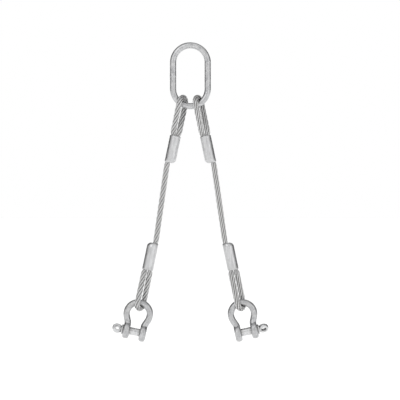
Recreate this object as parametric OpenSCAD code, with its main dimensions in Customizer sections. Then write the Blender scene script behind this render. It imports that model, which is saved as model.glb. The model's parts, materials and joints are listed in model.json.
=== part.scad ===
// Two-leg wire rope sling. An oblong master link carries two wire rope legs.
// Each leg has a pressed eye at both ends and a screw-pin bow shackle at the bottom.
// Millimetres. The origin is the inside top of the link, where a hook bears.
// Z is up, the legs spread in X and the pin heads point outboard.
// The left leg is the right leg turned half a turn about Z.

/* [Master link] */
// diameter of the link's bar
link_bar_d = 13; // [10:0.5:16]
// inside width of the link
link_in_w = 60; // [50:1:80]
// inside length of the link
link_in_l = 115; // [100:1:140]

/* [Rope] */
// nominal diameter of the wire rope
rope_d = 12; // [10:0.5:13]
// length along the rope in which a strand goes round once
lay_length = 78; // [60:1:100]
// number of outer strands
strand_count = 6; // [6:1:6]
// how far a rope is squeezed inside a ferrule, as a share of its diameter
squeeze = 0.82; // [0.8:0.01:0.9]

/* [Legs] */
// angle of each leg from the vertical
leg_angle = 11.8; // [10:0.1:15]
// distance of each upper eye's bearing point from the middle of the link
eye_x = 17.4; // [16:0.1:20]
// length of an eye from its bearing point to the ferrule
eye_l = 68.5; // [60:0.5:90]
// length of plain rope between the two ferrules of a leg
plain_l = 172; // [150:1:400]
// half the width of an eye, front to back
eye_half_w = 16; // [15:0.5:20]
// sideways offset of each of the two rope parts of an eye
eye_skew = 6.2; // [6.1:0.1:7]

/* [Ferrules] */
// diameter of a pressed ferrule
ferrule_d = 23; // [22:0.5:26]
// length of a pressed ferrule
ferrule_l = 58; // [50:1:66]

/* [Shackles] */
// diameter of the bow's bar
bow_bar_d = 13; // [12:0.5:14]
// radius of the bow's centre line
bow_r = 24.5; // [23:0.5:27]
// distance from the pin axis up to the centre of the bow's circle
bow_h = 38; // [36:1:44]
// gap between the two ears
ear_gap = 21; // [18:0.5:24]
// thickness of each ear
ear_t = 14; // [12:0.5:15]
// radius of each ear
ear_r = 17.5; // [15:0.5:18]
// rounding of the ears' rims
ear_round = 5.5; // [2:0.5:6]

/* [Pins] */
// diameter of the pin where it bears
pin_d = 16; // [14:0.5:17]
// diameter of the pin in the plain ear, next to the head
journal_d = 16.4; // [14:0.1:17]
// diameter of the pin in the tapped ear, without its thread form
thread_d = 15.2; // [13:0.1:16]
// diameter of the collar under the pin's head
collar_d = 20.6; // [18:0.1:26]
// thickness of the collar
collar_t = 3.6; // [2:0.1:6]
// diameter of the flattened head
head_d = 21; // [18:0.5:24]
// thickness of the flattened head
head_t = 9; // [7:0.5:10]
// diameter of the hole in the head
head_hole_d = 9.5; // [7:0.5:11]
// angle of the head about the pin's axis, measured from the leg's own plane
head_turn = 42; // [0:1:90]

/* [Hidden] */
// how much wider each ear's hole is than the part of the pin in it
pin_play = 0.4;
// play along the pin's axis, at its steps and under its collar
seat_play = 0.1;
// how far the head's disc is sunk into the collar
head_sink = 1.6;
// length of a cutter that passes right through an ear
through_l = 60;
LINK_C = [0.70, 0.72, 0.74];
ROPE_C = [0.66, 0.67, 0.69];
CORE_C = [0.55, 0.56, 0.58];
FERRULE_C = [0.82, 0.83, 0.84];
SHACKLE_C = [0.68, 0.70, 0.72];
PIN_C = [0.74, 0.75, 0.77];
fine = 72;

// link: centre-line radius of both ends and the heights of their centres
link_r = (link_in_w + link_bar_d) / 2;
link_top_z = -link_in_w / 2;
link_low_z = link_in_w / 2 - link_in_l;
eye_z = link_low_z - sqrt(link_r * link_r - eye_x * eye_x);

// leg stations, measured down the leg from the centre of the link's bar
bar_h_up = 13.9;
bar_h_low = 13;
upper_in = eye_l;
upper_out = upper_in + ferrule_l;
lower_out = upper_out + plain_l;
lower_in = lower_out + ferrule_l;
bow_s = lower_in + eye_l + 2;
pin_s = bow_s + bow_r + bow_h;
cut_up = upper_out + 43.5;
cut_low = lower_out - 43.5;
gap_up = 3.4;
gap_low = 3.0;
dead_short = 8;

// rope section: radii of the strands' helix, of a strand and of the core
helix_r = rope_d * 0.346;
strand_r = rope_d * 0.15;
core_r = rope_d * 0.152;
in_x = rope_d / 2 * squeeze + 0.03;
bore_r = rope_d / 2 * squeeze + 0.08;
ease_l = 6;
mouth_l = 9;

SIDES = ["right", "left"];
KS = [for (k = [1 : strand_count]) k];
function leg_nodes(side) = concat(
    [for (k = KS) str(side, "_upper_strand_", k)],
    [str(side, "_upper_core"), str(side, "_upper_ferrule")],
    [for (k = KS) str(side, "_mid_strand_", k)],
    [str(side, "_mid_core")],
    [for (k = KS) str(side, "_lower_strand_", k)],
    [str(side, "_lower_core"), str(side, "_lower_ferrule")],
    [str(side, "_shackle"), str(side, "_pin")]
);

// ---- small vector helpers ----
function unit(v) = v / norm(v);
function across(v, t) = unit(v - (v * t) * t);
function clamp01(t) = min(1, max(0, t));
function smooth(t) = let (u = clamp01(t)) u * u * (3 - 2 * u);
function ease(t, a) = t < a ? t * t / (2 * a * (1 - a))
    : t > 1 - a ? 1 - (1 - t) * (1 - t) / (2 * a * (1 - a))
    : (t - a / 2) / (1 - a);

// ---- centre lines of the rope, in the leg's own frame ----
// the plain rope crosses from the outboard half of the upper ferrule
// to the inboard half of the lower one
function plain_x(s) = in_x - 2 * in_x * ease((s - upper_out) / plain_l, 0.1);
function plain(s0, s1, n) = [for (i = [0 : n]) let (s = s0 + (s1 - s0) * i / n)
    [plain_x(s), 0, -s]];

// one side of an eye, from a ferrule's mouth at t = 0 to the crown at t = 1
function eye_side(x0, x1, y1, s0, s1, n, up) = [for (i = [1 : n - 1])
    let (t = up ? 1 - i / n : i / n)
    [x0 + (x1 - x0) * smooth(t * abs(s1 - s0) / mouth_l), y1 * (1 - cos(180 * t)) / 2,
        -(s0 + (s1 - s0) * t)]];

// the crown: a flat half turn round a bar, set askew so that its two ends lie side by side
function crown(s0, h, sx, n) = [for (i = [0 : n]) let (a = 90 - 180 * i / n)
    [sx * eye_skew * sin(a), sx * eye_half_w * sin(a), -s0 + h * cos(a)]];

function straight(x, s0, s1, n) = [for (i = [0 : n]) [x, 0, -(s0 + (s1 - s0) * i / n)]];

function upper_path() = concat(
    plain(cut_up - gap_up / 2, upper_out, 5),
    straight(in_x, upper_out - 9.6, upper_in, 5),
    eye_side(in_x, eye_skew, eye_half_w, upper_in, 0, 8, false),
    crown(0, bar_h_up, 1, 8),
    eye_side(-in_x, -eye_skew, -eye_half_w, upper_in, 0, 8, true),
    straight(-in_x, upper_in, upper_out - dead_short, 5)
);
function mid_path() = plain(cut_up + gap_up / 2, cut_low - gap_low / 2, 9);
function lower_path() = concat(
    plain(cut_low + gap_low / 2, lower_out, 5),
    straight(-in_x, lower_out + 9.6, lower_in, 5),
    eye_side(-in_x, -eye_skew, -eye_half_w, lower_in, bow_s, 8, false),
    crown(bow_s, -bar_h_low, -1, 8),
    eye_side(in_x, eye_skew, eye_half_w, lower_in, bow_s, 8, true),
    straight(in_x, lower_in, lower_out + dead_short, 5)
);

// ---- sweeping a strand along a centre line ----
// share of the full rope size at a station: small inside the ferrules
function size_at(p) = let (s = -p[2],
    u = max((upper_in - s) / mouth_l, (s - upper_out) / ease_l),
    w = max((lower_out - s) / ease_l, (s - lower_in) / mouth_l))
    squeeze + (1 - squeeze) * smooth(min(u, w));

function tangents(p) = let (n = len(p) - 1) [for (i = [0 : n])
    i == 0 ? unit(p[1] - p[0])
    : i == n ? unit(p[n] - p[n - 1])
    : unit(unit(p[i + 1] - p[i]) + unit(p[i] - p[i - 1]))];

function normals(t) = [for (i = 0, v = across([1, 0, 0], t[0]); i < len(t);
    i = i + 1, v = i < len(t) ? across(v, t[i]) : v) v];

function runs(p) = [for (i = 0, d = 0; i < len(p);
    i = i + 1, d = i < len(p) ? d + norm(p[i] - p[i - 1]) : d) d];

// rings of points round a strand that winds about the centre line p
function rings(p, hr, r, start, sides) = let (
    t = tangents(p),
    n = normals(t),
    d = runs(p))
    [for (i = [0 : len(p) - 1]) let (
        b = cross(t[i], n[i]),
        k = size_at(p[i]),
        f = start + 360 * d[i] / lay_length,
        q = p[i] + hr * k * (cos(f) * n[i] + sin(f) * b))
        [for (j = [0 : sides - 1]) let (a = f + 360 * j / sides)
            q + r * k * (cos(a) * n[i] + sin(a) * b)]];

module sweep(rs) {
    m = len(rs);
    s = len(rs[0]);
    pts = [for (r = rs) for (q = r) q];
    skin = [for (i = [0 : m - 2]) for (j = [0 : s - 1])
        let (a = i * s + j, b = i * s + (j + 1) % s)
        each [[a, a + s, b], [b, a + s, b + s]]];
    ends = [[for (j = [0 : s - 1]) j], [for (j = [s - 1 : -1 : 0]) (m - 1) * s + j]];
    polyhedron(points = pts, faces = concat(skin, ends), convexity = 8);
}

// phase of strand k where a section begins, going up or down the leg
function phase_up(k, s) = 60 * k - 360 * s / lay_length;
function phase_down(k, s) = -60 * k + 360 * s / lay_length;

module upper_strand(k) {
    color(ROPE_C) sweep(rings(upper_path(), helix_r, strand_r, phase_up(k, cut_up - gap_up / 2), 6));
}

module upper_core() {
    color(CORE_C) sweep(rings(upper_path(), 0, core_r, 0, 5));
}

module mid_strand(k) {
    color(ROPE_C) sweep(rings(mid_path(), helix_r, strand_r, phase_down(k, cut_up + gap_up / 2), 6));
}

module mid_core() {
    color(CORE_C) sweep(rings(mid_path(), 0, core_r, 0, 5));
}

module lower_strand(k) {
    color(ROPE_C) sweep(rings(lower_path(), helix_r, strand_r, phase_down(k, cut_low + gap_low / 2), 6));
}

module lower_core() {
    color(CORE_C) sweep(rings(lower_path(), 0, core_r, 0, 5));
}

// ---- ferrule ----
// side view of a pressed ferrule, mouth at z = 0 and rope end at z = ferrule_l:
// flush along the rope on the +x side, a rounded shoulder over the dead end on the other
function shoulder(r, n) = [for (i = [0 : n]) let (a = 90 + 90 * i / n)
    [-ferrule_d / 2 + r + r * cos(a), ferrule_l - r + r * sin(a)]];

module ferrule() {
    r = ferrule_d / 2;
    e = 0.8;
    color(FERRULE_C) difference() {
        intersection() {
            cylinder(r = r, h = ferrule_l, $fn = fine);
            rotate([90, 0, 0]) linear_extrude(height = 2 * r + 2, center = true)
                polygon(concat([[-r - 1, ferrule_l - 9]], [[-r - 1, e], [-r + e, -0.01], [r - e, -0.01],
                    [r + 1, e + 1], [r + 1, ferrule_l - 2.5], [r - 1.2, ferrule_l]], shoulder(8.5, 8)));
            rotate([90, 0, 90]) linear_extrude(height = 2 * r + 2, center = true)
                polygon([[-r - 1, -1], [r + 1, -1], [r + 1, ferrule_l - 8], [r - 1, ferrule_l - 4.5],
                    [r - 3.4, ferrule_l + 0.01], [3.4 - r, ferrule_l + 0.01], [1 - r, ferrule_l - 4.5],
                    [-r - 1, ferrule_l - 8]]);
        }
        translate([in_x, 0, -1]) cylinder(r = bore_r, h = ferrule_l + 2, $fn = fine);
        translate([-in_x, 0, -1]) cylinder(r = bore_r, h = ferrule_l - dead_short + 1.4, $fn = fine);
    }
}

module upper_ferrule() {
    translate([0, 0, -upper_in]) mirror([0, 0, 1]) ferrule();
}

module lower_ferrule() {
    translate([0, 0, -lower_in]) mirror([1, 0, 0]) ferrule();
}

// ---- master link ----
module half_ring(r, bar) {
    rotate([90, 0, 0]) rotate_extrude(angle = 180, $fn = fine * 2) translate([r, 0]) circle(d = bar, $fn = fine);
}

module master_link() {
    color(LINK_C) union() {
        translate([0, 0, link_top_z]) half_ring(link_r, link_bar_d);
        translate([0, 0, link_low_z]) mirror([0, 0, 1]) half_ring(link_r, link_bar_d);
        for (x = [-link_r, link_r]) translate([x, 0, link_low_z])
            cylinder(d = link_bar_d, h = link_top_z - link_low_z, $fn = fine);
    }
}

// ---- shackle, about the centre of its pin ----
lean = 22;
bend_r = 14;
ear_x = (ear_gap + ear_t) / 2;
limb_x = bow_r * cos(lean) - ear_x - bend_r * (1 - cos(lean));
limb_l = limb_x / sin(lean);

module limb() {
    translate([bow_r * cos(lean), 0, bow_h - bow_r * sin(lean)]) rotate([0, lean, 0]) {
        translate([0, 0, -limb_l]) cylinder(d = bow_bar_d, h = limb_l, $fn = fine);
        translate([0, 0, -0.2]) cylinder(d = bow_bar_d + 0.06, h = 0.4, $fn = fine);
        translate([bend_r, 0, -limb_l]) rotate([90, 0, 0]) rotate([0, 0, 180])
            rotate_extrude(angle = lean, $fn = fine * 2)
            translate([bend_r, 0]) circle(d = bow_bar_d, $fn = fine);
    }
}

// quarter-round corner of an ear's outline, about (cx, cz), from angle a0
function corner(cx, cz, a0, n) = [for (i = [0 : n]) let (a = a0 + 90 * i / n)
    [cx + ear_round * cos(a), cz + ear_round * sin(a)]];

module ear(x) {
    c = ear_r - ear_round;
    translate([x - ear_t / 2, 0, 0]) rotate([0, 90, 0]) rotate_extrude($fn = fine)
        polygon(concat([[0, 0]], corner(c, ear_round, -90, 5), corner(c, ear_t - ear_round, 0, 5), [[0, ear_t]]));
}

module shackle() {
    color(SHACKLE_C) difference() {
        union() {
            translate([0, 0, bow_h]) rotate([0, lean, 0]) rotate([90, 0, 0])
                rotate_extrude(angle = 180 + 2 * lean, $fn = fine * 2)
                translate([bow_r, 0]) circle(d = bow_bar_d, $fn = fine);
            limb();
            mirror([1, 0, 0]) limb();
            ear(ear_x);
            ear(-ear_x);
        }
        rotate([0, 90, 0]) cylinder(d = journal_d + pin_play, h = through_l, $fn = fine);
        rotate([0, -90, 0]) cylinder(d = thread_d + pin_play, h = through_l, $fn = fine);
    }
}

// ---- screw pin, along x about the centre of the shackle's gap ----
module pin() {
    ear_out = ear_gap / 2 + ear_t;
    step_x = ear_gap / 2 - seat_play;
    collar_x = ear_out + seat_play;
    head_x = collar_x + collar_t + head_d / 2 - head_sink;
    color(PIN_C) difference() {
        union() {
            translate([-ear_out, 0, 0]) rotate([0, 90, 0])
                cylinder(d = thread_d, h = ear_out - step_x, $fn = fine);
            translate([-step_x, 0, 0]) rotate([0, 90, 0])
                cylinder(d = pin_d, h = 2 * step_x, $fn = fine);
            translate([step_x, 0, 0]) rotate([0, 90, 0])
                cylinder(d = journal_d, h = collar_x - step_x, $fn = fine);
            translate([collar_x, 0, 0]) rotate([0, 90, 0])
                cylinder(d = collar_d, h = collar_t, $fn = fine);
            translate([head_x, 0, 0]) rotate([head_turn, 0, 0])
                rotate([90, 0, 0]) cylinder(d = head_d, h = head_t, center = true, $fn = fine);
        }
        translate([head_x, 0, 0]) rotate([head_turn, 0, 0])
            rotate([90, 0, 0]) cylinder(d = head_hole_d, h = head_t + 2, center = true, $fn = fine);
    }
}

// ---- placing a leg ----
module leg(side) {
    rotate([0, 0, side == "left" ? 180 : 0])
        translate([eye_x, 0, eye_z]) rotate([0, -leg_angle, 0]) children();
}

module at_pin(side) {
    leg(side) translate([0, 0, -pin_s]) children();
}

master_link();

for (side = SIDES) {
    for (k = KS) {
        leg(side) upper_strand(k);
        leg(side) mid_strand(k);
        leg(side) lower_strand(k);
    }
    leg(side) upper_core();
    leg(side) mid_core();
    leg(side) lower_core();
    leg(side) upper_ferrule();
    leg(side) lower_ferrule();
    at_pin(side) shackle();
    at_pin(side) pin();
}
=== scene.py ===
import json
import math

import bmesh
import bpy
import numpy as np
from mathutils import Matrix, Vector


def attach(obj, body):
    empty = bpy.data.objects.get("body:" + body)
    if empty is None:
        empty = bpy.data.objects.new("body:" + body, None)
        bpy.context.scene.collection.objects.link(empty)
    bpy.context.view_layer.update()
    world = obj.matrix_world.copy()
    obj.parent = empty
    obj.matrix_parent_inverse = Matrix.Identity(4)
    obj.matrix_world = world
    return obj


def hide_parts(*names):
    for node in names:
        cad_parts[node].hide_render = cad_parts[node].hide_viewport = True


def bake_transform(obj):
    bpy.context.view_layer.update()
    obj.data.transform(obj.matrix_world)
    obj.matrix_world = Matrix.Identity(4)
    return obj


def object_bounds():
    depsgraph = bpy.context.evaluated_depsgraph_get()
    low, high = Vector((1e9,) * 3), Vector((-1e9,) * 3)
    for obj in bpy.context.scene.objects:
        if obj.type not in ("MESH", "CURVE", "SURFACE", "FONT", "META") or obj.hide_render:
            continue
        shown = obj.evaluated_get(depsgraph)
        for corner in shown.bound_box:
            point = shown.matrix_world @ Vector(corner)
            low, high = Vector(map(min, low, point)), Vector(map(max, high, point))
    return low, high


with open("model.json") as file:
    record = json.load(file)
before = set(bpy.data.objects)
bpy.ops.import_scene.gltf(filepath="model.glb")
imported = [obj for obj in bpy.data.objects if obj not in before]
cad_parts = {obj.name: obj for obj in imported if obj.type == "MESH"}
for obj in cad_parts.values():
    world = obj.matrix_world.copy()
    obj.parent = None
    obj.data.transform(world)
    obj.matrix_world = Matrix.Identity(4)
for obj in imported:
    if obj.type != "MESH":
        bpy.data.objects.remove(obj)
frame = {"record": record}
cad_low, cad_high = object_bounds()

RECORD = frame["record"]
MOUNTS = {m["name"]: m for m in RECORD["mounts"]}
JOINTS = {j["name"]: j for j in RECORD["behaviour"]["joints"]}

# ---- sizes of the sling in millimetres and degrees, as in the part's own design ----
# s runs down a leg from the centre of the upper eye; x is across the leg, y is to the back
# rope
ROPE_R = 6.0
LAY = 78.0
SQUEEZE = 0.82  # the rope's size inside a ferrule, as a share of its free size
IN_X = ROPE_R * SQUEEZE + 0.03  # either rope in a ferrule, from the leg's middle
BORE_R = ROPE_R * SQUEEZE + 0.08
EYE_HALF_W, EYE_SKEW = 16.0, 6.2
EYE_L, PLAIN_L = 68.5, 172.0
BAR_UP, BAR_LOW = 13.9, 13.0  # height of an eye's crown over the bar in it
DEAD_SHORT = 8.0  # how far the rope's dead end stops short of the ferrule's rope end
MOUTH_L, EXIT_L = 9.0, 6.0  # lengths over which the rope takes its size at a ferrule's two ends
SEAM_LAP = 0.15  # how far each half of the rope runs past the middle joint
BEND_HALF_L = 40.0  # half the length of the stretch about each bend place; the stations at its two ends are worked out but not used
# ferrule
FERRULE_R, FERRULE_L = 11.5, 58.0
# link
BAR_R = 6.5
LINK_INNER_R, LINK_SIDE_L = 30.0, 55.0
LINK_R = LINK_INNER_R + BAR_R
LINK_TOP_Z = -LINK_INNER_R
LINK_LOW_Z = LINK_TOP_Z - LINK_SIDE_L
WELD_Z = (LINK_TOP_Z + LINK_LOW_Z) / 2
# shackle
BOW_R, BOW_H = 24.5, 38.0
LEAN, BEND_R = math.radians(22), 14.0
EAR_GAP, EAR_T, EAR_R = 21.0, 14.0, 17.5
EAR_IN, EAR_OUT = EAR_GAP / 2, EAR_GAP / 2 + EAR_T
EAR_X = (EAR_IN + EAR_OUT) / 2
HOLE_PLAY = 0.2
# places along a leg: the ends of each ferrule, the middle joint, the two bends, the bow's bar and the pin
UPPER_IN = EYE_L
UPPER_OUT = UPPER_IN + FERRULE_L
LOWER_OUT = UPPER_OUT + PLAIN_L
LOWER_IN = LOWER_OUT + FERRULE_L
SEAM_S = (UPPER_OUT + LOWER_OUT) / 2
CUT_UP, CUT_LOW = UPPER_OUT + 43.5, LOWER_OUT - 43.5
BOW_S = LOWER_IN + EYE_L + 2
PIN_S = BOW_S + BOW_R + BOW_H
# pin
PIN_R, JOURNAL_HOLE_R, THREAD_R, THREAD_PITCH = 8.0, 8.4, 7.6, 2.0
SEAT_PLAY = 0.1
COLLAR_R, COLLAR_T = 10.3, 3.6
COLLAR_X = EAR_OUT + SEAT_PLAY
HEAD_R, HEAD_T, HEAD_HOLE_R, HEAD_TURN = 10.5, 9.0, 4.75, 42.0
HEAD_X = COLLAR_X + COLLAR_T + HEAD_R - 1.6


# ---- mesh helpers ----
def make_object(name, verts, faces, sharp_deg=38.0):
    mesh = bpy.data.meshes.new(name)
    mesh.from_pydata([tuple(v) for v in verts], [], faces)
    mesh.validate()
    mesh.update()
    obj = bpy.data.objects.new(name, mesh)
    bpy.context.scene.collection.objects.link(obj)
    smooth(obj, sharp_deg)
    return obj


def smooth(obj, sharp_deg=38.0):
    mesh = obj.data
    mesh.polygons.foreach_set("use_smooth", [True] * len(mesh.polygons))
    mesh.set_sharp_from_angle(angle=math.radians(sharp_deg))


def ring_faces(rows, cols, loop=False):
    """Quads between successive rings of points, and from the last ring to the first if the rings loop."""
    faces = []
    last = rows if loop else rows - 1
    for i in range(last):
        a, b = i * cols, (i + 1) % rows * cols
        for j in range(cols):
            k = (j + 1) % cols
            faces.append((a + j, a + k, b + k, b + j))
    return faces


def tube(name, rings, sharp_deg=38.0, loop=False):
    """A skin over rings of points, closed by a fan of triangles at each end unless the rings loop."""
    rings = np.asarray(rings, float)
    rows, cols = rings.shape[:2]
    verts = rings.reshape(-1, 3)
    faces = ring_faces(rows, cols, loop)
    if not loop:
        start, end = len(verts), len(verts) + 1
        verts = np.vstack([verts, rings[0].mean(0), rings[-1].mean(0)])
        base = (rows - 1) * cols
        for j in range(cols):
            k = (j + 1) % cols
            faces.append((start, k, j))
            faces.append((end, base + j, base + k))
    return make_object(name, verts, faces, sharp_deg)


def points(obj):
    co = np.empty(len(obj.data.vertices) * 3)
    obj.data.vertices.foreach_get("co", co)
    return co.reshape(-1, 3)


def set_points(obj, co):
    obj.data.vertices.foreach_set("co", np.ravel(co))
    obj.data.update()


def attribute(obj, name, values):
    a = obj.data.attributes.new(name, "FLOAT", "POINT")
    a.data.foreach_set("value", np.asarray(values, np.float32))


def evaluated(obj):
    """Bakes the object's modifiers into its mesh."""
    bpy.context.view_layer.update()
    dg = bpy.context.evaluated_depsgraph_get()
    mesh = bpy.data.meshes.new_from_object(obj.evaluated_get(dg))
    obj.modifiers.clear()
    old = obj.data
    obj.data = mesh
    bpy.data.meshes.remove(old)
    return obj


def boolean(obj, tool, operation):
    m = obj.modifiers.new("cut", "BOOLEAN")
    m.operation, m.object, m.solver = operation, tool, "EXACT"
    evaluated(obj)
    bpy.data.objects.remove(tool)
    return obj


def clean(obj):
    """Clears what booleans leave behind: slivers, and every crumb apart from the largest connected part."""
    bm = bmesh.new()
    bm.from_mesh(obj.data)
    bmesh.ops.triangulate(bm, faces=[f for f in bm.faces if len(f.verts) > 4])
    bmesh.ops.dissolve_degenerate(bm, dist=1e-3, edges=bm.edges[:])
    bmesh.ops.triangulate(bm, faces=[f for f in bm.faces if len(f.verts) > 4])
    left, largest = set(bm.verts), set()
    while left:
        part, edge = set(), {left.pop()}
        while edge:
            part |= edge
            edge = {e.other_vert(v) for v in edge for e in v.link_edges} - part
        left -= part
        if len(part) > len(largest):
            largest = part
    bmesh.ops.delete(bm, geom=[v for v in bm.verts if v not in largest], context="VERTS")
    bm.to_mesh(obj.data)
    bm.free()


def remesh(obj, voxel, rounds):
    """Blends the parts of a mesh into one skin of small quads, then rounds it."""
    m = obj.modifiers.new("remesh", "REMESH")
    m.mode, m.voxel_size = "VOXEL", voxel
    s = obj.modifiers.new("smooth", "SMOOTH")
    s.factor, s.iterations = 0.5, rounds
    return evaluated(obj)


def finish_piece(obj, material, node, body):
    """Gives a stiff piece its material, hides the CAD node it replaces and puts the piece on the body it
    rides on.
    """
    obj.data.materials.append(material)
    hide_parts(node)
    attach(obj, body)


def join(name, parts):
    """One mesh object holding the meshes of several."""
    bm = bmesh.new()
    for p in parts:
        bm.from_mesh(p.data)
        bpy.data.objects.remove(p)
    mesh = bpy.data.meshes.new(name)
    bm.to_mesh(mesh)
    bm.free()
    obj = bpy.data.objects.new(name, mesh)
    bpy.context.scene.collection.objects.link(obj)
    return obj


def lathe(profile, turns=96):
    """Rings about the local x axis from (x, radius) pairs."""
    a = np.linspace(0, 2 * math.pi, turns, endpoint=False)
    return [np.stack([np.full(turns, x), r * np.cos(a), r * np.sin(a)], 1) for x, r in profile]


def rounded_disc(x0, x1, radius, fillet, inner=0.05, steps=8):
    """Profile of a disc from x0 to x1 with rounded rims."""
    out = [(x0, inner)]
    for i in range(steps + 1):
        a = math.pi / 2 * i / steps
        out.append((x0 + fillet * (1 - math.cos(a)), radius - fillet * (1 - math.sin(a))))
    for i in range(steps + 1):
        a = math.pi / 2 * (1 - i / steps)
        out.append((x1 - fillet * (1 - math.cos(a)), radius - fillet * (1 - math.sin(a))))
    out.append((x1, inner))
    return out


# ---- a leg's own axes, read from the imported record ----
class Leg:
    def __init__(self, side):
        self.side = side
        self.ex = np.array(JOINTS[f"{side}_pin_draw"]["axis"], float)
        self.pin = np.array(MOUNTS[f"{side}_shackle_pin"]["pos_m"], float) * 1000
        bow = np.array(JOINTS[f"{side}_shackle_rock"]["pos_m"], float) * 1000
        self.ez = (bow - self.pin) / np.linalg.norm(bow - self.pin)
        self.ey = np.cross(self.ez, self.ex)
        self.origin = self.pin + PIN_S * self.ez

    def world(self, local, origin=None):
        p = np.asarray(local, float)
        axes = np.stack([self.ex, self.ey, self.ez])
        return (p @ axes + (self.origin if origin is None else origin)) / 1000

    def place(self, obj, origin=None):
        set_points(obj, self.world(points(obj), origin))

    def station(self, s):
        return tuple(self.world([0, 0, -s]))


# ---- centre lines of the rope in a leg's own frame ----
def clamp01(t):
    return np.clip(t, 0, 1)


def smoothstep(t):
    u = clamp01(t)
    return u * u * (3 - 2 * u)


def ease(t, a=0.1):
    """From 0 to 1 at an even rate, with a soft start and stop of length a."""
    t = np.asarray(t, float)
    mid = (t - a / 2) / (1 - a)
    low = t * t / (2 * a * (1 - a))
    high = 1 - (1 - t) ** 2 / (2 * a * (1 - a))
    return np.where(t < a, low, np.where(t > 1 - a, high, mid))


def plain(s0, s1, n):
    """The plain rope between the ferrules, which crosses over from one side of the leg to the other."""
    s = np.linspace(s0, s1, n + 1)
    x = IN_X - 2 * IN_X * ease((s - UPPER_OUT) / PLAIN_L)
    return np.stack([x, 0 * s, -s], 1)


def straight(x, s0, s1, n):
    s = np.linspace(s0, s1, n + 1)
    return np.stack([x + 0 * s, 0 * s, -s], 1)


def eye_side(x0, x1, y1, s0, s1, n, towards_ferrule):
    """One side of an eye, from the ferrule's mouth at s0 to the crown at s1."""
    t = np.arange(1, n) / n
    t = 1 - t if towards_ferrule else t
    x = x0 + (x1 - x0) * smoothstep(t * abs(s1 - s0) / MOUTH_L)
    y = y1 * (1 - np.cos(math.pi * t)) / 2
    return np.stack([x, y, -(s0 + (s1 - s0) * t)], 1)


def crown(s0, h, sign, n):
    """Half an ellipse over a bar at s0."""
    a = math.pi / 2 - math.pi * np.arange(n + 1) / n
    return np.stack([sign * EYE_SKEW * np.sin(a), sign * EYE_HALF_W * np.sin(a), -s0 + h * np.cos(a)], 1)


EYE_STEPS = 40


def upper_path():
    """From the middle joint up through the ferrule, round the upper eye and back in to the dead end."""
    return np.vstack([
        plain(SEAM_S + SEAM_LAP, UPPER_OUT, 60),
        straight(IN_X, UPPER_OUT - 2, UPPER_IN, 20),
        eye_side(IN_X, EYE_SKEW, EYE_HALF_W, UPPER_IN, 0, EYE_STEPS, False),
        crown(0, BAR_UP, 1, EYE_STEPS),
        eye_side(-IN_X, -EYE_SKEW, -EYE_HALF_W, UPPER_IN, 0, EYE_STEPS, True),
        straight(-IN_X, UPPER_IN, UPPER_OUT - DEAD_SHORT, 20)])


def lower_path():
    """From the middle joint down through the ferrule, round the lower eye and back in to the dead end."""
    return np.vstack([
        plain(SEAM_S - SEAM_LAP, LOWER_OUT, 60),
        straight(-IN_X, LOWER_OUT + 2, LOWER_IN, 20),
        eye_side(-IN_X, -EYE_SKEW, -EYE_HALF_W, LOWER_IN, BOW_S, EYE_STEPS, False),
        crown(BOW_S, -BAR_LOW, -1, EYE_STEPS),
        eye_side(IN_X, EYE_SKEW, EYE_HALF_W, LOWER_IN, BOW_S, EYE_STEPS, True),
        straight(IN_X, LOWER_IN, LOWER_OUT + DEAD_SHORT, 20)])


def resample(path, step):
    d = np.concatenate([[0], np.cumsum(np.linalg.norm(np.diff(path, axis=0), axis=1))])
    n = max(2, int(round(d[-1] / step)))
    t = np.linspace(0, d[-1], n + 1)
    return np.stack([np.interp(t, d, path[:, i]) for i in range(3)], 1), t


def unit(v):
    return v / np.linalg.norm(v, axis=-1, keepdims=True)


def frames(path):
    """Tangents of a path, and normals that are carried along it without twist."""
    tangent = unit(np.gradient(path, axis=0))
    normal = np.empty_like(tangent)
    v = np.array([1.0, 0, 0])
    for i, t in enumerate(tangent):
        v = unit(v - (v @ t) * t)
        normal[i] = v
    return tangent, normal, np.cross(tangent, normal)


def size_at(path):
    """The rope's size along a path, as a share of its free size."""
    s = -path[:, 2]
    u = np.maximum((UPPER_IN - s) / MOUTH_L, (s - UPPER_OUT) / EXIT_L)
    w = np.maximum((LOWER_OUT - s) / EXIT_L, (s - LOWER_IN) / MOUTH_L)
    return SQUEEZE + (1 - SQUEEZE) * smoothstep(np.minimum(u, w))


# ---- strands, each a bundle of wires drawn as one lobed skin ----
STRAND_HELIX = 4.03  # radius of the helix of a strand's centre line
STRAND_R = 1.96
WIRES = 9
WIRE_LAY = 30.0
CORE_R, CORE_LAY = 1.95, 50.0
RING_STEP = 1.6
WIRE_POINTS = (-1, -0.55, 0, 0.55)  # places of the outline's points on a wire, as shares of its half angle


def strand_section():
    """Angles and radii of a strand's outline: the outer wires side by side."""
    half = math.pi / WIRES
    wire = STRAND_R * math.sin(half) / (1 + math.sin(half))
    centre = STRAND_R - wire
    angle, radius = [], []
    for w in range(WIRES):
        for d in WIRE_POINTS:
            a = d * half
            reach = max(wire * wire - (centre * math.sin(a)) ** 2, 0)
            angle.append(2 * half * w + a)
            radius.append(centre * math.cos(a) + math.sqrt(reach))
    return np.array(angle), np.array(radius)


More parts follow.
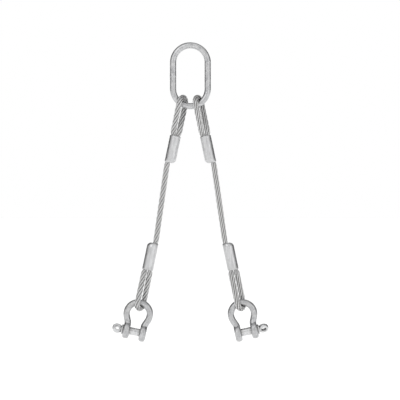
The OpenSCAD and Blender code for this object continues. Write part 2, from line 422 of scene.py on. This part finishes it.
def strand(name, leg, path, run, phase_deg):
    """One laid strand; run is the length along the rope, and phase_deg the strand's place round it."""
    tangent, normal, side = frames(path)
    size = size_at(path)
    f = np.radians(phase_deg) + 2 * math.pi * run / LAY
    out = np.cos(f)[:, None] * normal + np.sin(f)[:, None] * side
    centre = path + STRAND_HELIX * size[:, None] * out
    t = unit(np.gradient(centre, axis=0))
    n = unit(out - np.sum(out * t, 1)[:, None] * t)
    b = np.cross(t, n)
    angle, radius = strand_section()
    a = angle[None, :] - (2 * math.pi * run / WIRE_LAY)[:, None]
    r = radius[None, :] * size[:, None]
    rings = (centre[:, None, :] + (r * np.cos(a))[..., None] * n[:, None, :]
             + (r * np.sin(a))[..., None] * b[:, None, :])
    obj = tube(name, leg.world(rings), 60)
    # depth and valley mark the gaps between strands and between wires, where the rope's material paints shade
    # and grease
    gap = ROPE_R * size[:, None] - np.linalg.norm(rings - path[:, None, :], axis=2)
    valley = (radius.max() - radius) / (radius.max() - radius.min())
    depth = np.clip(gap / 3.2, 0, 1)
    attribute(obj, "depth", np.append(depth.ravel(), [1, 1]))
    attribute(obj, "valley", np.append(np.broadcast_to(valley, depth.shape).ravel(), [1, 1]))
    attribute(obj, "wire", np.append(np.broadcast_to(
        np.repeat(np.arange(WIRES), len(WIRE_POINTS)) / WIRES, depth.shape).ravel(), [0, 0]))
    return obj


def core(name, leg, path, run):
    tangent, normal, side = frames(path)
    size = size_at(path)
    a = np.linspace(0, 2 * math.pi, 12, endpoint=False)
    twist = a[None, :] + 2 * math.pi * run[:, None] / CORE_LAY
    r = size[:, None] * (CORE_R + 0.12 * np.cos(6 * a))[None, :]
    rings = (path[:, None, :] + (r * np.cos(twist))[..., None] * normal[:, None, :]
             + (r * np.sin(twist))[..., None] * side[:, None, :])
    return tube(name, leg.world(rings))


def rope(leg):
    side = leg.side
    parts = (
        ("upper", upper_path(), -360 * (SEAM_S + SEAM_LAP) / LAY, 1,
         (f"{side}_upper_eye", f"{side}_rope_mid"), (CUT_UP - BEND_HALF_L, CUT_UP + BEND_HALF_L)),
        ("lower", lower_path(), 360 * (SEAM_S - SEAM_LAP) / LAY, -1,
         (f"{side}_rope_mid", f"{side}_lower_eye"), (CUT_LOW - BEND_HALF_L, CUT_LOW + BEND_HALF_L)))
    for part, path, phase, sign, bodies, reach in parts:
        path, run = resample(path, RING_STEP)
        start, end = (leg.station(s) for s in reach)
        for k in range(1, 7):
            obj = strand(f"{side}_rope_{part}_strand_{k}", leg, path, run, phase + sign * 60 * k)
            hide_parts(f"{side}_{part}_strand_{k}")
            if part == "upper":
                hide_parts(f"{side}_mid_strand_{k}")
            obj.data.materials.append(WIRE)
            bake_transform(obj)
        obj = core(f"{side}_rope_{part}_core", leg, path, run)
        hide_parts(f"{side}_{part}_core")
        if part == "upper":
            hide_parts(f"{side}_mid_core")
        obj.data.materials.append(CORE)
        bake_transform(obj)


# ---- ferrules ----
MOUTH_ROUND = 1.2  # rounding of the mouth's edge
EDGE_L, EDGE_DROP = 1.6, 1.3  # rounding of the rope end's edge
SHOULDER_Z, SHOULDER_DROP = 49.0, 8.6  # where the side over the dead end rounds in, and by how much
TAPER_Z, TAPER_DROP = 48.0, 4.2  # where front and back taper in, and by how much
FLASH_H, FLASH_Z = 0.22, (1.0, 55.0)  # thin line that the two halves of the press leave front and back
DIE_H, DIE_Z = 0.05, (4.0, 50.0)  # faint waves that the press leaves along the body


def ferrule_rings():
    """Rings from the mouth at z = 0 to the rope end, flush on the +x side and rounded over the dead end."""
    a = np.linspace(0, 2 * math.pi, 128, endpoint=False)
    ca, sa = np.cos(a), np.sin(a)
    zs = np.concatenate([[0.0, 0.12, 0.35, 0.7, 1.2], np.linspace(2.5, 46, 30), np.linspace(47, 57.2, 24),
                         [57.7, FERRULE_L]])
    rings = []
    for z in zs:
        mouth = 1 - math.sqrt(max(0, 1 - (max(0, MOUTH_ROUND - z) / MOUTH_ROUND) ** 2))
        edge = EDGE_DROP * max(0, (z - (FERRULE_L - EDGE_L)) / EDGE_L) ** 1.6
        left = mouth - FERRULE_R
        right = FERRULE_R - mouth - edge
        if z > SHOULDER_Z:
            u = min(1, (z - SHOULDER_Z) / (FERRULE_L - SHOULDER_Z))
            left = -FERRULE_R + SHOULDER_DROP * (1 - math.sqrt(max(0, 1 - u * u * 0.985)))
        back = FERRULE_R - mouth
        if z > TAPER_Z:
            u = (z - TAPER_Z) / (FERRULE_L - TAPER_Z)
            back = FERRULE_R - TAPER_DROP * u ** 2.4 - 0.3 * edge
        flash = FLASH_H * np.exp(-((np.abs(sa) - 1) / 0.006) ** 2) * (1 if FLASH_Z[0] < z < FLASH_Z[1] else 0)
        die = DIE_H * math.sin(z * 0.9) * (1 if DIE_Z[0] < z < DIE_Z[1] else 0)
        x = (left + right) / 2 + ((right - left) / 2 + die) * ca
        y = (back + die + flash) * sa
        rings.append(np.stack([x, y, np.full_like(x, z)], 1))
    return rings


def ferrule(leg, which):
    obj = tube(f"{leg.side}_{which}_ferrule_pressed", ferrule_rings())
    a = np.linspace(0, 2 * math.pi, 64, endpoint=False)
    bore_r = BORE_R + 0.12
    for x, depth in ((IN_X, FERRULE_L + 1), (-IN_X, FERRULE_L - DEAD_SHORT + 0.5)):
        ring = np.stack([x + bore_r * np.cos(a), bore_r * np.sin(a)], 1)
        cut = tube("bore", [np.c_[ring, np.full(64, z)] for z in (-1, depth)])
        boolean(obj, cut, "DIFFERENCE")
    clean(obj)
    smooth(obj, 30)
    if which == "upper":
        set_points(obj, points(obj) * [1, 1, -1] + [0, 0, -UPPER_IN])
    else:
        set_points(obj, points(obj) * [-1, 1, 1] + [0, 0, -LOWER_IN])
    obj.data.flip_normals()
    leg.place(obj)
    finish_piece(obj, FERRULE, f"{leg.side}_{which}_ferrule", f"{leg.side}_{which}_eye")


# ---- master link: one bent bar, welded in the middle of its left side ----
def master_link():
    arc_steps = 120
    side_steps = 58
    side_l = LINK_TOP_Z - LINK_LOW_Z
    centre, out = [], []
    for sign, arc_z in ((1, LINK_TOP_Z), (-1, LINK_LOW_Z)):
        for i in range(arc_steps):
            a = math.pi * i / arc_steps + (0 if sign > 0 else math.pi)
            centre.append((LINK_R * math.cos(a), arc_z + LINK_R * math.sin(a)))
            out.append((math.cos(a), math.sin(a)))
        for i in range(side_steps):
            centre.append((-sign * LINK_R, arc_z - sign * side_l * i / side_steps))
            out.append((-sign, 0))
    b = np.linspace(0, 2 * math.pi, 56, endpoint=False)
    rings = []
    for (x, z), (ox, oz) in zip(centre, out):
        on_left = 1 if x < -LINK_R + 1 and ox == -1 else 0
        # the weld is a low uneven bead with a faint groove on either side
        weld = on_left * math.exp(-((z - WELD_Z) / 2.6) ** 2)
        weld_edge = on_left * math.exp(-((abs(z - WELD_Z) - 3.4) / 0.7) ** 2)
        r = BAR_R + 0.42 * weld * (0.8 + 0.2 * np.cos(3 * b)) - 0.1 * weld_edge
        rings.append(np.stack([x + r * np.cos(b) * ox, r * np.sin(b), z + r * np.cos(b) * oz], 1) / 1000)
    obj = tube("oblong_link", rings, loop=True)
    finish_piece(obj, LINK, "master_link", "master_link")


# ---- shackle ----
LIMB_X = BOW_R * math.cos(LEAN) - EAR_X - BEND_R * (1 - math.cos(LEAN))
LIMB_L = LIMB_X / math.sin(LEAN)
SKIN = 0.12  # added to the bar's radius, because blending the parts shrinks them a little
BLEND_TOP, BLEND_L = 27.0, 20.0  # height over the pin where the bar starts to grow, and over what length


def shackle_line():
    """Centre line from one ear over the bow to the other, in the plane of the ears."""
    end_x, end_z = BOW_R * math.cos(LEAN), BOW_H - BOW_R * math.sin(LEAN)
    low_x, low_z = end_x - LIMB_L * math.sin(LEAN), end_z - LIMB_L * math.cos(LEAN)
    half = [(EAR_X, low_z - BEND_R * math.sin(LEAN) - 3)]
    half += [(low_x + BEND_R * (math.cos(LEAN) - math.cos(LEAN * i / 8)),
              low_z - BEND_R * (math.sin(LEAN) - math.sin(LEAN * i / 8))) for i in range(9)]
    half += [(low_x + (end_x - low_x) * i / 8, low_z + (end_z - low_z) * i / 8) for i in range(1, 8)]
    half += [(BOW_R * math.cos(a), BOW_H + BOW_R * math.sin(a)) for a in np.linspace(-LEAN, math.pi / 2, 40)]
    line = np.array(half + [(-x, z) for x, z in half[-2::-1]])
    return np.c_[line[:, 0], 0 * line[:, 0], line[:, 1]]


def shackle_bar():
    """The bar, which grows thicker and deeper as it runs into the ears."""
    path, _ = resample(shackle_line(), 1.0)
    normal = np.cross([0, 1, 0], unit(np.gradient(path, axis=0)))
    a = np.linspace(0, 2 * math.pi, 48, endpoint=False)
    near_ear = smoothstep((BLEND_TOP - path[:, 2]) / BLEND_L)[:, None, None]
    thick = (BAR_R + SKIN + 0.45 * near_ear) * np.cos(a)[None, :, None]
    deep = (BAR_R + SKIN + 4.2 * near_ear ** 1.5) * np.sin(a)[None, :, None]
    return tube("bar", path[:, None, :] + thick * normal[:, None, :] + deep * np.array([0, 1, 0]))


def shackle(leg):
    parts = [shackle_bar()]
    for x in (-EAR_X, EAR_X):
        disc = rounded_disc(x - EAR_T / 2 - 0.05, x + EAR_T / 2 + 0.05, EAR_R + 0.1, 5.6)
        parts.append(tube("ear", lathe(disc)))
    obj = join(f"{leg.side}_bow_shackle", parts)
    remesh(obj, 0.6, 14)
    co = points(obj)
    normal = np.array([v.normal for v in obj.data.vertices])
    # the forging line runs round in the middle plane and is ground off where the pin's collar sits
    off_seat = smoothstep((np.hypot(co[:, 1], co[:, 2]) - (EAR_R - 5)) / 3)
    ridge = 0.28 * np.exp(-(co[:, 1] / 0.75) ** 2) * clamp01(1.4 - 2.2 * np.abs(normal[:, 1])) * off_seat
    co = co + normal * ridge[:, None]
    co[:, 0] = np.clip(co[:, 0], -BOW_R - BAR_R, BOW_R + BAR_R)
    set_points(obj, co)
    for r, x0, x1 in ((JOURNAL_HOLE_R, 0, 40), (THREAD_R + HOLE_PLAY, -40, 0)):
        boolean(obj, tube("bore", lathe([(x0, r), (x1, r)], 96)), "DIFFERENCE")
    clean(obj)
    smooth(obj, 45)
    leg.place(obj, leg.pin)
    finish_piece(obj, SHACKLE, f"{leg.side}_shackle", f"{leg.side}_shackle")


# ---- screw pin ----
THREAD_DEPTH = 1.15
GROOVE_R = THREAD_R - 0.7  # run-out groove between the thread and the shank


def pin_shank():
    """The threaded end with its run-out groove, then the plain shank up to the collar."""
    turns = 72
    a = np.linspace(0, 2 * math.pi, turns, endpoint=False)
    rings = []
    for x in np.arange(-EAR_OUT, -EAR_IN - 1.4, 0.25):
        start = clamp01((x + EAR_OUT) / 2.2)
        stop = clamp01((-EAR_IN - 2.6 - x) / 1.2)
        phase = (x / THREAD_PITCH - a / (2 * math.pi)) % 1
        tooth = np.abs(2 * phase - 1)
        r = THREAD_R - THREAD_DEPTH * np.clip(1.25 * tooth - 0.12, 0, 1) * stop - 1.2 * (1 - start)
        rings.append(np.stack([np.full(turns, x), r * np.cos(a), r * np.sin(a)], 1))
    rings += lathe([(-EAR_IN - 1.3, GROOVE_R), (-EAR_IN - 0.5, GROOVE_R), (-EAR_IN + 0.1, PIN_R - 0.45),
                    (-EAR_IN + 0.5, PIN_R), (0, PIN_R), (EAR_OUT + 1.5, PIN_R)], turns)
    return tube("shank", rings)


def turn_to_head(obj):
    """Turns a lathed shape from the x axis to the axis of the head's hole."""
    turn = math.radians(HEAD_TURN)
    axis = np.array([0, -math.cos(turn), -math.sin(turn)])
    basis = np.stack([axis, [1, 0, 0], np.cross(axis, [1, 0, 0])])
    set_points(obj, points(obj) @ basis + [HEAD_X, 0, 0])
    return obj


def head_hole():
    """Cutter for the head's hole, with a rounded edge at both faces."""
    half = [(-9, 4), (-HEAD_T / 2 - 0.2, 1.2), (-HEAD_T / 2 + 0.9, 0.25), (-HEAD_T / 2 + 1.9, 0)]
    profile = half + [(-x, r) for x, r in reversed(half)]
    return turn_to_head(tube("hole", lathe([(x, HEAD_HOLE_R + r) for x, r in profile], 64)))


def pin(leg):
    shank = pin_shank()
    collar = tube("collar", lathe(rounded_disc(COLLAR_X, COLLAR_X + COLLAR_T, COLLAR_R, 1.1)))
    disc = turn_to_head(tube("disc", lathe(rounded_disc(-HEAD_T / 2, HEAD_T / 2, HEAD_R + 0.1, 2.6))))
    neck = tube("neck", lathe([(EAR_OUT + 1, 6.9), (EAR_OUT + 5, 6.3), (HEAD_X - HEAD_HOLE_R - 2.2, 5.4)]))
    head = join("head", [collar, disc, neck])
    remesh(head, 0.38, 7)
    boolean(head, head_hole(), "DIFFERENCE")
    obj = boolean(shank, head, "UNION")
    obj.name = f"{leg.side}_screw_pin"
    clean(obj)
    smooth(obj, 40)
    leg.place(obj, leg.pin)
    finish_piece(obj, PIN, f"{leg.side}_pin", f"{leg.side}_pin")


# ---- materials ----
def add_node(tree, kind, inputs=None, **settings):
    """Adds a node; an input is either a plain value or the output of another node."""
    node = tree.nodes.new(kind)
    for key, value in settings.items():
        setattr(node, key, value)
    for key, value in (inputs or {}).items():
        if hasattr(value, "is_output"):
            tree.links.new(value, node.inputs[key])
        else:
            node.inputs[key].default_value = value
    return node


class Nodes:
    """Short calls for building a node material."""

    def __init__(self, name):
        self.mat = bpy.data.materials.new(name)
        self.mat.use_nodes = True
        self.tree = self.mat.node_tree
        self.bsdf = self.tree.nodes["Principled BSDF"]

    def add(self, kind, inputs=None, **settings):
        return add_node(self.tree, kind, inputs, **settings)

    def math(self, operation, a, b=0.0, clamp=False):
        return self.add("ShaderNodeMath", {0: a, 1: b}, operation=operation, use_clamp=clamp).outputs[0]

    def ramp(self, value, low, high, out_low=0.0, out_high=1.0):
        return self.add("ShaderNodeMapRange", {0: value, 1: low, 2: high, 3: out_low, 4: out_high}).outputs[0]

    def mix(self, factor, a, b, blend="MIX"):
        node = self.add("ShaderNodeMix", {0: factor, 6: a, 7: b}, data_type="RGBA", blend_type=blend)
        return node.outputs[2]

    def noise(self, vector, scale, detail=3.0, rough=0.55):
        return self.add("ShaderNodeTexNoise", {"Vector": vector, "Scale": scale, "Detail": detail,
                                               "Roughness": rough}).outputs[0]

    def attribute(self, name):
        return self.add("ShaderNodeAttribute", attribute_name=name).outputs["Fac"]

    def set(self, **inputs):
        for key, value in inputs.items():
            socket = self.bsdf.inputs[key.replace("_", " ")]
            if hasattr(value, "is_output"):
                self.tree.links.new(value, socket)
            else:
                socket.default_value = value

    def bump(self, height, distance, strength=1.0, normal=None):
        inputs = {"Height": height, "Distance": distance, "Strength": strength}
        if normal is not None:
            inputs["Normal"] = normal
        return self.add("ShaderNodeBump", inputs).outputs[0]


def grey(v, warm=0.0):
    return (v + warm, v + warm * 0.3, v - warm, 1)


def galvanised(name, light, dark, rough, cell, bump):
    """Hot-dip zinc: faint spangle cells, dull oxide clouds, small pits, painted shade in the corners, rubbed
    edges.

    light, dark and rough are the metal's greys and roughness, cell is the spangle's size in mm, and bump
    scales the relief.
    """
    n = Nodes(name)
    place = n.add("ShaderNodeTexCoord").outputs["Object"]
    wander = n.add("ShaderNodeTexNoise", {"Vector": place, "Scale": 260.0}).outputs["Color"]
    shift = n.add("ShaderNodeVectorMath", {0: wander, 3: 0.0035}, operation="SCALE").outputs[0]
    warp = n.add("ShaderNodeVectorMath", {0: place, 1: shift}, operation="ADD").outputs[0]
    spangle = n.add("ShaderNodeTexVoronoi", {"Vector": warp, "Scale": 1000.0 / cell}, feature="F1")
    tone = n.add("ShaderNodeSeparateColor", {0: spangle.outputs["Color"]}).outputs[0]
    cloud = n.noise(place, 45.0, 4.0, 0.6)
    fine = n.noise(place, 900.0, 3.0, 0.6)
    pit = n.ramp(n.noise(place, 420.0, 2.0), 0.62, 0.72)
    oxide = n.ramp(cloud, 0.46, 0.68)
    # painted shade: ambient occlusion darkens the metal towards near black in corners and where parts close
    # in
    shade = n.add("ShaderNodeAmbientOcclusion", {"Distance": 0.006}, samples=6).outputs["AO"]
    edge = n.ramp(n.add("ShaderNodeNewGeometry").outputs["Pointiness"], 0.52, 0.6)
    metal = n.mix(n.ramp(tone, 0, 1, 0.15, 0.85), grey(dark, -0.006), grey(light, -0.004))
    metal = n.mix(n.math("MULTIPLY", oxide, 0.4), metal, grey(light * 0.97, 0.006))
    metal = n.mix(n.math("MULTIPLY", pit, 0.35), metal, grey(dark * 0.7))
    metal = n.mix(n.math("MULTIPLY", edge, 0.5), metal, grey(min(0.93, light * 1.08)))
    metal = n.mix(n.ramp(shade, 0.25, 0.95, 0.75, 0.0), metal, grey(0.11, 0.008))
    roughness = n.math("ADD", n.ramp(tone, 0, 1, rough - 0.06, rough + 0.06),
                       n.math("MULTIPLY", n.math("SUBTRACT", oxide, edge), 0.1))
    normal = n.bump(fine, 0.000035 * bump)
    normal = n.bump(n.math("SUBTRACT", cloud, n.math("MULTIPLY", pit, 0.13)), 0.0006 * bump, 0.6, normal)
    n.set(Base_Color=metal, Metallic=0.88, Roughness=roughness, Normal=normal)
    return n.mat


def wire_rope(name):
    """Drawn galvanised wire: bright crowns, each wire a little different, grease and painted shade in the
    gaps.
    """
    n = Nodes(name)
    place = n.add("ShaderNodeTexCoord").outputs["Object"]
    depth, valley, wire = n.attribute("depth"), n.attribute("valley"), n.attribute("wire")
    streak = n.noise(place, 700.0, 2.0)
    cloud = n.noise(place, 60.0, 3.0)
    seed = n.math("MULTIPLY", wire, 37.0)
    each = n.add("ShaderNodeTexWhiteNoise", {"W": seed}, noise_dimensions="1D").outputs[0]
    tone = n.math("ADD", n.math("MULTIPLY", each, 0.5), n.math("MULTIPLY", streak, 0.5))
    metal = n.mix(tone, grey(0.50), grey(0.76))
    metal = n.mix(n.ramp(cloud, 0.5, 0.75, 0, 0.4), metal, grey(0.62, 0.012))
    # grease and painted shade in the gaps: near black, and duller and rougher, deep in the rope and between
    # the wires
    grease_and_gap_shade = n.math("MAXIMUM", n.ramp(depth, 0.12, 0.62), n.math("MULTIPLY", n.ramp(valley, 0.45, 1.0), 0.7))
    metal = n.mix(grease_and_gap_shade, metal, grey(0.035, 0.004))
    n.set(Base_Color=metal, Metallic=n.ramp(grease_and_gap_shade, 0, 1, 0.9, 0.3),
          Roughness=n.ramp(grease_and_gap_shade, 0, 1, 0.34, 0.75), Normal=n.bump(streak, 0.00004))
    return n.mat


def rope_core(name):
    n = Nodes(name)
    place = n.add("ShaderNodeTexCoord").outputs["Object"]
    tone = n.noise(place, 500.0)
    n.set(Base_Color=n.mix(tone, grey(0.05), grey(0.16, 0.01)), Metallic=0.6,
          Roughness=n.ramp(tone, 0, 1, 0.45, 0.75), Normal=n.bump(tone, 0.0001))
    return n.mat


def pressed_aluminium(name, axis):
    """Pressed ferrule: lengthwise streaks, die scuffs, soft oxide clouds and painted shade round the rope."""
    n = Nodes(name)
    place = n.add("ShaderNodeTexCoord").outputs["Object"]
    drawn = n.add("ShaderNodeMapping", {"Vector": place, "Rotation": (0, axis, 0),
                                        "Scale": (900, 900, 18)}).outputs[0]
    streak = n.add("ShaderNodeTexNoise", {"Vector": drawn, "Scale": 1.0, "Detail": 3.0}).outputs[0]
    cloud = n.noise(place, 70.0, 4.0)
    scuff = n.ramp(n.noise(place, 260.0, 5.0, 0.7), 0.6, 0.7)
    # painted shade: ambient occlusion darkens the metal round the rope and in the bores
    shade = n.add("ShaderNodeAmbientOcclusion", {"Distance": 0.004}, samples=6).outputs["AO"]
    metal = n.mix(n.ramp(streak, 0.3, 0.7), grey(0.46, -0.005), grey(0.68, -0.003))
    metal = n.mix(n.ramp(cloud, 0.45, 0.68, 0, 0.5), metal, grey(0.44))
    metal = n.mix(n.math("MULTIPLY", scuff, 0.5), metal, grey(0.27))
    metal = n.mix(n.ramp(shade, 0.3, 0.9, 0.7, 0), metal, grey(0.1))
    rough = n.math("ADD", n.ramp(streak, 0.3, 0.7, 0.30, 0.44), n.math("MULTIPLY", scuff, 0.15))
    normal = n.bump(streak, 0.00008)
    n.set(Base_Color=metal, Metallic=0.95, Roughness=rough, Normal=n.bump(cloud, 0.0004, 0.5, normal))
    return n.mat


def pale_floor(name):
    n = Nodes(name)
    place = n.add("ShaderNodeTexCoord").outputs["Object"]
    tone = n.noise(place, 3.0)
    n.set(Base_Color=n.mix(tone, grey(0.93), grey(0.95)), Roughness=0.9, Specular_IOR_Level=0.1)
    return n.mat


LINK = galvanised("galvanised_link", 0.58, 0.38, 0.30, 5.0, 1.0)
SHACKLE = galvanised("galvanised_forging", 0.55, 0.35, 0.33, 3.6, 1.3)
PIN = galvanised("zinc_plated_pin", 0.66, 0.50, 0.24, 2.6, 0.6)
WIRE = wire_rope("rope_wire_galvanised")
CORE = rope_core("rope_core_greased")
FERRULE = pressed_aluminium("pressed_aluminium", 0.2)

master_link()
for side_name in ("right", "left"):
    one_leg = Leg(side_name)
    rope(one_leg)
    for end_name in ("upper", "lower"):
        ferrule(one_leg, end_name)
    shackle(one_leg)
    pin(one_leg)

# ---- floor, light and camera ----
scene = bpy.context.scene
FLOOR_HALF, FLOOR_DROP = 40.0, 0.09
floor_z = cad_low.z - FLOOR_DROP
corners = [(x * FLOOR_HALF, y * FLOOR_HALF, floor_z) for x, y in ((-1, -1), (1, -1), (1, 1), (-1, 1))]
floor = make_object("floor", corners, [(0, 1, 2, 3)])
floor.data.materials.append(pale_floor("pale_floor"))


def area_light(name, place, target, size, watts):
    light = bpy.data.lights.new(name, "AREA")
    light.shape, light.size, light.size_y, light.energy = "RECTANGLE", size[0], size[1], watts
    obj = bpy.data.objects.new(name, light)
    scene.collection.objects.link(obj)
    obj.location = place
    obj.rotation_euler = (Vector(target) - Vector(place)).to_track_quat("-Z", "Y").to_euler()


middle = (0, 0, (cad_low.z + cad_high.z) / 2)
area_light("key", (-1.3, -2.2, 1.4), middle, (2.0, 2.2), 13)
area_light("fill", (1.8, -1.8, 0.2), middle, (1.2, 1.6), 4)
area_light("back", (0.8, 2.4, 1.2), middle, (2.0, 2.0), 8)
area_light("top", (0, 0, 2.2), middle, (2.2, 2.2), 5)

# the surroundings are white to the camera and to matt surfaces; metal also sees darker ones to its sides,
# which turn with the camera and draw a grey edge along each bar
world = bpy.data.worlds.new("studio")
scene.world = world
world.use_nodes = True
sky = world.node_tree
sky.nodes.clear()
direction = add_node(sky, "ShaderNodeTexCoord").outputs["Generated"]
seen = add_node(sky, "ShaderNodeVectorTransform", {0: direction}, vector_type="VECTOR",
                convert_from="WORLD", convert_to="CAMERA")
ahead = add_node(sky, "ShaderNodeSeparateXYZ", {0: seen.outputs[0]}).outputs[2]
sides = add_node(sky, "ShaderNodeMapRange", {0: ahead, 1: -0.40, 2: 0.20, 3: 0.86, 4: 0.03},
                 interpolation_type="SMOOTHSTEP").outputs[0]
ray = add_node(sky, "ShaderNodeLightPath")
to_metal = add_node(sky, "ShaderNodeMix", {0: ray.outputs["Is Glossy Ray"], 2: 1.15, 3: sides}).outputs[0]
strength = add_node(sky, "ShaderNodeMix", {0: ray.outputs["Is Camera Ray"], 2: to_metal, 3: 1.0}).outputs[0]
background = add_node(sky, "ShaderNodeBackground", {"Color": (1, 1, 1, 1), "Strength": strength})
add_node(sky, "ShaderNodeOutputWorld", {0: background.outputs[0]})

scene.view_settings.view_transform = "Standard"

# a long lens looks level at the sling and takes in a square of this side, in metres, about this point
VIEW_SIDE = 0.842
VIEW_X, VIEW_Z = 0.0202, -0.319
camera = bpy.data.cameras.new("camera")
camera.lens, camera.sensor_width = 200, 36
camera_object = bpy.data.objects.new("camera", camera)
scene.collection.objects.link(camera_object)
scene.camera = camera_object
camera_object.location = (VIEW_X, -VIEW_SIDE * camera.lens / camera.sensor_width, VIEW_Z)
camera_object.rotation_euler = (math.radians(90), 0, 0)
camera.clip_start, camera.clip_end = 0.1, 200
